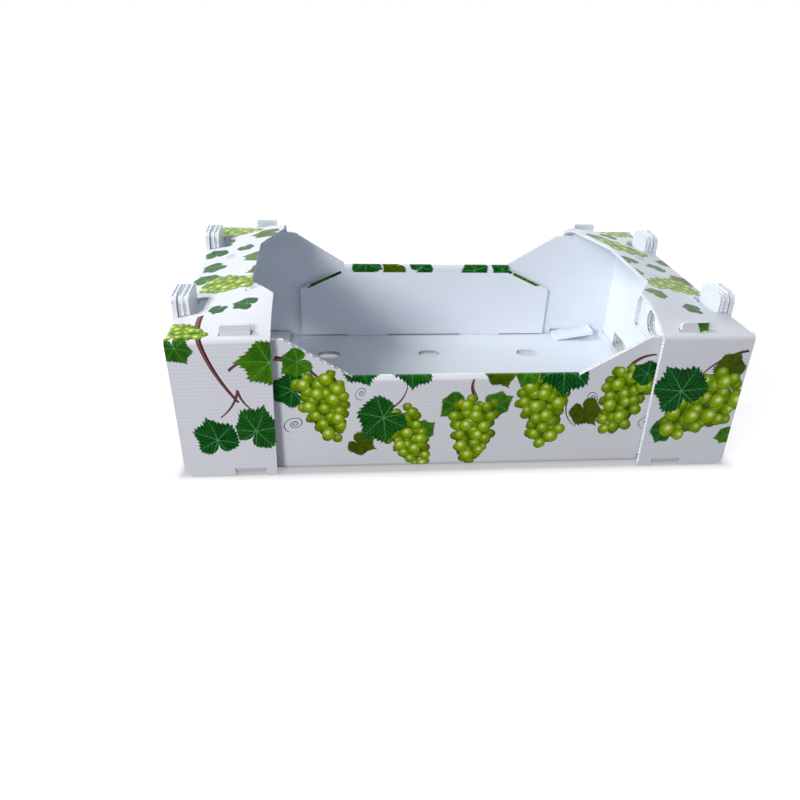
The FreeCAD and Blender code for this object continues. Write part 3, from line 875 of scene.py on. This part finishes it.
def makeBase():
    size = SimpleNamespace(**baseSize)
    holes = []
    for side in (-1, 1):
        holes += [slot(x, side * size.ventY, *size.vent) for x in size.ventAt]
        for end in (-1, 1):
            for alongX, alongY in ((size.footSlot, size.footSlotY), (size.roomX, size.room)):
                (x0, x1), (y0, y1) = onSide(end, alongX), onSide(side, alongY)
                holes.append(rectangle(x0, y0, x1, y1))
    panel = flatPanel(rectangle(-size.halfX, -size.halfY, size.halfX, size.halfY), holes,
                      [(-size.halfY, size.halfY, crush - size.halfX, size.halfX - crush)])
    for vert in panel.verts:
        vert.co.z = thick - vert.co.z  # the printed side is underneath
    bmesh.ops.reverse_faces(panel, faces=panel.faces)
    return makePiece("base", [panel], plain)


# long walls, each with the panel that rolls over it; side is -1 for the front and 1 for the back
wallSize = {"out": 148, "axis": 143, "top": 128.5, "tabMid": 192.5, "tabHalf": 12, "tabTop": 142,
            "dipHalf": 100, "dipTop": 93, "slopeHalf": 158, "rollAxis": 88.25, "rollRadius": 4.75,
            "rollHalf": 153, "shoulder": 64, "foot": (45.5, 96.5), "footTop": 5.6, "footLow": 0.5,
            "tuckSlot": (24.5, 2.5, 9), "round": 2, "slopeRound": 3, "footRound": 1, "tip": 142.5,
            "cuts": (24, 20)}
tabShift = {-1: 2.5, 1: -3.5}  # the front tabs stand further out than the back ones
tuckAt = {-1: (-190.5, 193), 1: (-191, 189)}
far = 200  # past the sides of a rolled panel
onward = 400  # the last run of a path, past the end of any panel


def makeLongWall(name, side, half, printed, layout=None):
    size = SimpleNamespace(**wallSize)
    top, dip, axis = size.top, size.dipHalf, size.rollAxis
    inner, outer = (size.tabMid + tabShift[side] + reach for reach in (-size.tabHalf, size.tabHalf))
    alongEvery, upEvery = size.cuts
    edge = [(half, fold - quarter), (half, top, size.round), (outer, top), (outer, size.tabTop, size.round),
            (inner, size.tabTop, size.round), (inner, top), (size.slopeHalf, top, size.slopeRound),
            (dip, size.dipTop), (dip, axis)]
    wide, low, high = size.tuckSlot
    slots = [rectangle(u - wide, low, u + wide, high) for u in tuckAt[side]]
    bands = [(fold - quarter, fold), (fold, axis), (axis, size.tip)]
    at, bends = bentPath((size.axis, 0), 0, fold - quarter, [(fold, 90), onward])
    cuts = {"v": bends + spaced(fold, axis, upEvery) + [axis], "u": spaced(-half, half, alongEvery)}
    flutes = [(*band, crush - half, half - crush) for band in bands]
    wall = flatPanel([*edge, *mirror(edge)], slots, flutes, cuts)
    openEnd(wall, axis, -dip, dip)
    foldPanel(wall, at, wallPlace(side))

    # the rolled panel: v runs over the fold and down the inside, to just above the base
    bendEnd = axis + size.rollRadius * math.pi
    down = bendEnd + axis
    low, high = size.foot
    footTop, footLow = down - size.footTop, down - size.footLow
    edge = [(dip, axis), (dip, bendEnd), (size.rollHalf, down - size.shoulder, size.round),
            (size.rollHalf, footTop), (high, footTop), (high, footLow, size.footRound),
            (low, footLow, size.footRound), (low, footTop)]
    at, bends = bentPath((size.out, axis), 90, axis, [(size.rollRadius, 180), onward])
    bands = [(axis, bendEnd), (bendEnd, down)]
    cuts = {"v": bends + spaced(bendEnd, down, upEvery), "u": spaced(-far, far, alongEvery)}
    roll = flatPanel([*mirror(edge), *edge][::-1], (), [(*band, -far, far) for band in bands], cuts)
    openEnd(roll, axis, -dip, dip)
    foldPanel(roll, at, wallPlace(side))
    return makePiece(name, [wall, roll], printed, layout=layout)


base = makeBase()
print("base done")
frontWall = makeLongWall("frontWall", -1, 239.5, frontPrint)
backWall = makeLongWall("backWall", 1, 235, backPrint, layout=lambda u, v, spot: (-u, v))
print("long walls done")


# corner flaps across the ends: the inner ones from the front wall, the middle ones from the back
flapSize = {"axis": 143, "far": 136, "top": 128.5, "tab": (70, 107), "tabTop": 152, "tabRound": 9,
            "room": (69, 108), "roomTop": 20, "roomRound": 1, "hand": (0, 69, 76, 28),
            "wideHand": (60, 52, 88, 7), "innerOut": 240, "middleOut": 244.5, "round": 2, "tip": 152.5,
            "cuts": 24}
overrun = 4  # flutes run this far past an edge


def endTabs(top):
    # a pair of stacking tabs, from the far side to the near side
    size = SimpleNamespace(**flapSize)
    low, high = size.tab
    one = [(high, top), (high, size.tabTop, size.tabRound), (low, size.tabTop, size.tabRound), (low, top)]
    return one + mirror(one)


def footRoom(start):
    # room for one stacking tab of the crate below
    size = SimpleNamespace(**flapSize)
    low, high = size.room
    return [(low, start), (low, size.roomTop, size.roomRound), (high, size.roomTop, size.roomRound),
            (high, start)]


def makeFlap(name, end, side, out):
    size = SimpleNamespace(**flapSize)
    start = -size.axis - quarter
    outline = [(start, fold), *mirror(footRoom(fold)), *footRoom(fold), (size.far, fold),
               (size.far, size.top, size.round), *endTabs(size.top), (start, size.top)]
    hole = slot(*size.hand)
    if side < 0:
        u, low, high, corner = size.wideHand
        hole = [(*spot, corner) for spot in rectangle(-u, low, u, high)]
    at, bends = bentPath((out - fold, -wallSize["out"]), 0, start, [(fold, 90), onward])
    cuts = {"u": bends + spaced(-size.axis, size.far, size.cuts), "v": spaced(fold, size.tabTop, size.cuts)}
    flap = flatPanel(outline, [hole], [(fold, size.tip, crush - size.axis, size.far + overrun)], cuts)
    foldPanel(flap, at, cornerPlace(end, side), turned=True)
    return makePiece(name, [flap], plain)


flaps = [makeFlap("innerCornerRight", 1, -1, flapSize["innerOut"]),
         makeFlap("innerCornerLeft", -1, -1, flapSize["innerOut"]),
         makeFlap("middleCornerRight", 1, 1, flapSize["middleOut"]),
         makeFlap("middleCornerLeft", -1, 1, flapSize["middleOut"])]
print("corner flaps done")


# end walls with the shelf that folds in over them; end is -1 for the left and 1 for the right
endSize = {"out": 250, "half": 147, "foldTop": 128, "base": 143, "shelfIn": 167, "shelfHalf": 149,
           "notchDepth": 22, "notchHalf": 54, "notchMouth": 93, "slotX": (179.5, 205.5),
           "slotY": (143.5, 148.5), "holeX": 226, "holeRound": 9, "notchRound": (3, 4), "tabGap": 0.5,
           "cuts": (24, 20), "shelfCuts": 10, "shelfCutsTo": 150}
shelfBow = {"rise": 12, "over": 56, "most": 1.35, "from": 128.9, "power": 6}


def bowedShelf(point):
    # the inner edge of the shelf stands a little high between the corners that hold it
    x, y, z = point
    inside = endSize["out"] - fold - abs(x)
    if z < shelfBow["from"] or inside < 0:
        return point
    pinned = min(abs(y) / endSize["shelfHalf"], 1) ** shelfBow["power"]
    share = min(inside / shelfBow["over"], shelfBow["most"])
    return Vector((x, y, z + share * shelfBow["rise"] * (1 - pinned)))


def makeEnd(name, end, printed):
    size, tabs = SimpleNamespace(**endSize), SimpleNamespace(**flapSize)
    half, top, start, tip = size.half, size.foldTop, fold - quarter, tabs.tip
    low, high = tabs.tab
    gapLow, gapHigh = low - size.tabGap, high + size.tabGap
    footSide = [*footRoom(start), (size.base, start), (size.base, fold)]
    outline = [*mirror(footSide), *footSide, (half, fold), (half, top), *endTabs(top), (-half, top),
               (-half, fold)]
    at, bends = bentPath((size.out - fold, 0), 0, start, [(fold, 90), onward])
    flutes = [(-half, half, fold + crush, top - crush), (low, high, top - crush, tip),
              (-high, -low, top - crush, tip)]
    acrossEvery, upEvery = size.cuts
    cuts = {"v": bends + spaced(fold, top, upEvery) + [top],
            "u": spaced(-half, half, acrossEvery) + [-gapHigh, -gapLow, gapLow, gapHigh]}
    wall = flatPanel(outline, [slot(*tabs.hand)], flutes, cuts, across="u")
    for one, two in ((-half, -gapHigh), (-gapLow, gapLow), (gapHigh, half)):
        openEnd(wall, top, one, two)
    foldPanel(wall, at, endPlace(end))

    # the shelf: v grows from the top of the end wall to the inner edge, which has a wide notch
    def inward(x):
        return top + quarter + size.out - fold - x

    edge = inward(size.shelfIn)
    holeEnd = inward(size.holeX)
    hole = [(gapLow, top), (gapLow, holeEnd, size.holeRound), (gapHigh, holeEnd, size.holeRound),
            (gapHigh, top)]
    rim = [(half, top), (half, top + quarter), (size.shelfHalf, top + quarter), (size.shelfHalf, edge),
           (size.notchMouth, edge, size.notchRound[0]),
           (size.notchHalf, edge - size.notchDepth, size.notchRound[1])]
    slots = []
    for side in (-1, 1):
        (y0, y1), (x0, x1) = onSide(side, size.slotY), (x + tabShift[side] for x in size.slotX)
        slots.append(rectangle(y0, inward(x1), y1, inward(x0)))
    at, bends = bentPath((size.out, top), 90, top, [(fold, 90), onward])
    flutes = [(-size.shelfHalf, size.shelfHalf, top + quarter + crush, edge + overrun)]
    cuts = {"v": bends + spaced(top + quarter, edge, size.shelfCuts),
            "u": spaced(-size.shelfCutsTo, size.shelfCutsTo, size.shelfCuts)}
    shelf = flatPanel([*hole, *rim, *mirror(rim), *mirror(hole)], slots, flutes, cuts, across="u")
    openEnd(shelf, top, -half, half)
    foldPanel(shelf, at, endPlace(end))
    relay(wall, lambda u, v, spot: (end * u + endPrint["wall"], v))
    relay(shelf, lambda u, v, spot: (spot.x, spot.y + endPrint["shelf"]))
    return makePiece(name, [wall, shelf], printed, shape=bowedShelf)


ends = [makeEnd("rightEnd", 1, rightPrint), makeEnd("leftEnd", -1, leftPrint)]
print("ends done")


# corner panels, hung from the shelves, with the tuck tab that goes through the wall
panelSize = {"out": 154, "inX": 167, "outX": 249, "low": 1, "corner": 7, "foldTop": 128, "notch": 13.5,
             "tuckAxis": 8.6, "tuckNeck": 12.8, "tuckHalf": 24, "headY": (143.5, 118.5),
             "creases": (2, 65, 4.8, 1.2),  # radius, degrees and a flat, then the radius of the second crease
             "crushed": 0.3, "stand": (2.5, 1.3), "lift": (1.6, 1.6), "liftOver": 5,
             "round": 1, "notchRound": 0.5, "headRound": 1.5,
             "cuts": (14, 20), "tuckCuts": 12, "fluteEnds": (100, 300)}


def makeCornerPanel(name, end, side, printed, lift=panelSize["lift"]):
    size = SimpleNamespace(**panelSize)
    place = wallPlace(side, end)
    middle = abs(tuckAt[side][end > 0])
    axis, low, top, rim = size.tuckAxis, size.low, size.foldTop, size.foldTop + quarter
    alongEvery, upEvery = size.cuts
    notchIn, notchOut = middle - size.notch, middle + size.notch
    outline = [(size.inX, low, size.round), (notchIn, low, size.notchRound), (notchIn, axis),
               (notchOut, axis), (notchOut, low, size.notchRound), (size.outX, low, size.corner),
               (size.outX, rim), (size.inX, rim)]
    at, bends = bentPath((size.out, 0), 90, 0, [top, (fold, 90), onward])
    bands = [(low, axis), (axis, top), (top, rim)]
    cuts = {"v": bends + spaced(axis, top, upEvery), "u": spaced(size.inX, size.outX, alongEvery)}
    panel = flatPanel(outline, (), [(*band, *size.fluteEnds) for band in bands], cuts)
    foldPanel(panel, at, place)

    # the neck bends in two creases, and goes in through the slot at the foot of the wall
    first, degrees, flat, second = size.creases
    steep = math.radians(degrees)
    bent = axis - first * steep - flat - second * (math.pi / 2 - steep)
    start = size.out - first * math.sin(steep) - flat * math.cos(steep) - second * (1 - math.sin(steep))
    foot = axis - first * (1 - math.cos(steep)) - flat * math.sin(steep) - second * math.cos(steep)
    headStart, headEnd = (bent - (start - y) for y in size.headY)
    neck, head = size.tuckNeck, size.tuckHalf
    outline = [(middle - neck, axis), (middle - neck, headStart), (middle - head, headStart, size.round),
               (middle - head, headEnd, size.headRound), (middle + head, headEnd, size.headRound),
               (middle + head, headStart, size.round), (middle + neck, headStart), (middle + neck, axis)]
    at, bends = bentPath((size.headY[1], foot), 0, headEnd,
                         [start - size.headY[1], (first, degrees), flat, (second, 90 - degrees), onward])
    cuts = {"v": bends + [headStart], "u": spaced(middle - head, middle + head, size.tuckCuts)}
    tuck = flatPanel(outline, (), [(headEnd, bent, *size.fluteEnds)], cuts)
    for vert in tuck.verts:
        if bent + sheet["weld"] < vert.co.y < axis - sheet["weld"]:
            vert.co.z = thick - (thick - vert.co.z) * size.crushed
    foldPanel(tuck, at, place)
    for vert in tuck.verts:
        inside = passed(-abs(vert.co.y), 1 - wallSize["out"], size.liftOver)
        vert.co.z += inside * (lift[0] + (lift[1] - lift[0]) * (abs(vert.co.x) - middle + head) / (2 * head))

    def standOff(point):
        # the panel hangs a little away from the wall at its foot
        x, y, z = point
        away, power = size.stand
        away = away * max(0.0, 1 - z / top) ** power if abs(y) > wallSize["out"] else 0.0
        return Vector((x, y + math.copysign(away, y), z))

    return makePiece(name, [panel, tuck], printed, shape=standOff,
                     layout=lambda u, v, spot: (-side * spot.x, v))


panels = [makeCornerPanel("frontRightPanel", 1, -1, rightPrint),
          makeCornerPanel("frontLeftPanel", -1, -1, leftPrint),
          makeCornerPanel("backRightPanel", 1, 1, backPrint, lift=(1.5, 9.5)),
          makeCornerPanel("backLeftPanel", -1, 1, backPrint)]
print("corner panels done")

for piece in [base, frontWall, backWall, *flaps, *ends, *panels]:
    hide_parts("crate")


groundLook = {"colour": 0.3, "roughness": 0.9, "reach": 4,  # metres each way from the middle
              "clear": 1.2,  # metres from the crate to where the floor is all white
              # glow seen by the camera, by distance from the crate: dim under and near it as a painted
              # contact shadow, then white further out
              "glow": [(0.0, 0.35), (0.003, 0.6), (0.012, 0.84), (0.3, 0.92), (1.0, 1.0)]}


def seenRays(tree):
    # 1 for what the camera sees, straight or in a reflection, and 0 for what lights the crate
    path = addNode(tree, "LightPath").outputs
    return most(path["Is Camera Ray"], most(path["Is Glossy Ray"], path["Is Transmission Ray"]))


def whiteGround():
    look = SimpleNamespace(**groundLook)
    material, tree, shader = newMaterial("paleGround")
    wire(shader, **{"Base Color": grey(look.colour), "Roughness": look.roughness, "Specular IOR Level": 0.0})
    # the floor's glow is dim under the crate and close to it: a painted contact shadow
    reachX, reachY, _ = cadBox[1]
    place = vec("ABSOLUTE", addNode(tree, "TexCoord").outputs["Object"])
    away = vec("MAXIMUM", vec("SUBTRACT", place, (reachX, reachY, 0.0)), (0.0, 0.0, 0.0))
    glow = ramp(over(measure(away), look.clear), [(spot, grey(level)) for spot, level in look.glow])
    glow = wire(addNode(tree, "Emission"), Color=glow, Strength=seenRays(tree))
    total = addNode(tree, "AddShader", shader.outputs[0], glow.outputs[0])
    feed(tree.nodes["Material Output"].inputs["Surface"], total.outputs[0])
    mesh = bpy.data.meshes.new("floor")
    corners = rectangle(-look.reach, -look.reach, look.reach, look.reach)
    mesh.from_pydata([(x, y, 0) for x, y in corners], [], [(0, 1, 2, 3)])
    mesh.materials.append(material)
    addObject("floor", mesh)


# each lamp: place in metres, size across, watts, colour
lamps = {
    "keyLamp": ((-1.75, 0.0, 1.6), 0.6, 28.5, (0.95, 1.0, 0.97)),
    "frontLamp": ((-1.84, -2.19, 1.36), 0.75, 50.0, (1.0, 0.98, 1.0)),
    "backLamp": ((0.35, 1.9, 1.0), 1.0, 15.0, (0.86, 0.98, 1.0)),
}
roomLook = {"aim": (0, 0, 0.07), "fill": (0.86, 0.91, 1.0, 1.0), "strength": 0.275}


def addLight():
    for name, (spot, across, watts, colour) in lamps.items():
        lamp = bpy.data.lights.new(name, "AREA")
        lamp.size, lamp.energy, lamp.color = across, watts, colour
        holder = addObject(name, lamp)
        holder.location = spot
        holder.rotation_euler = (Vector(roomLook["aim"]) - Vector(spot)).to_track_quat("-Z", "Y").to_euler()
    world = bpy.data.worlds.new("studio")
    bpy.context.scene.world = world
    world.use_nodes = True
    seen = seenRays(world.node_tree)
    wire(world.node_tree.nodes["Background"], Color=mixed(seen, roomLook["fill"], grey(1.0)),
         Strength=mixed(seen, roomLook["strength"], 1.0, "Float"))


cameraLook = {"sensor": 36.0, "lens": 32.81, "near": 0.01, "place": (-0.1190, -0.7011, 0.3798),
              "right": (0.99535, -0.09027, 0.03347), "up": (0.01479, 0.48689, 0.87334),
              "back": (-0.09513, -0.86879, 0.48596)}


def addCamera():
    look = cameraLook
    camera = bpy.data.cameras.new("camera")
    camera.sensor_width, camera.lens, camera.clip_start = look["sensor"], look["lens"], look["near"]
    holder = addObject("camera", camera)
    columns = [look[name] for name in ("right", "up", "back", "place")]
    for row in range(3):
        for column in range(4):
            holder.matrix_world[row][column] = columns[column][row]
    bpy.context.scene.camera = holder


whiteGround()
addLight()
addCamera()
bpy.context.scene.view_settings.view_transform = "Standard"
print("floor, light and camera done")
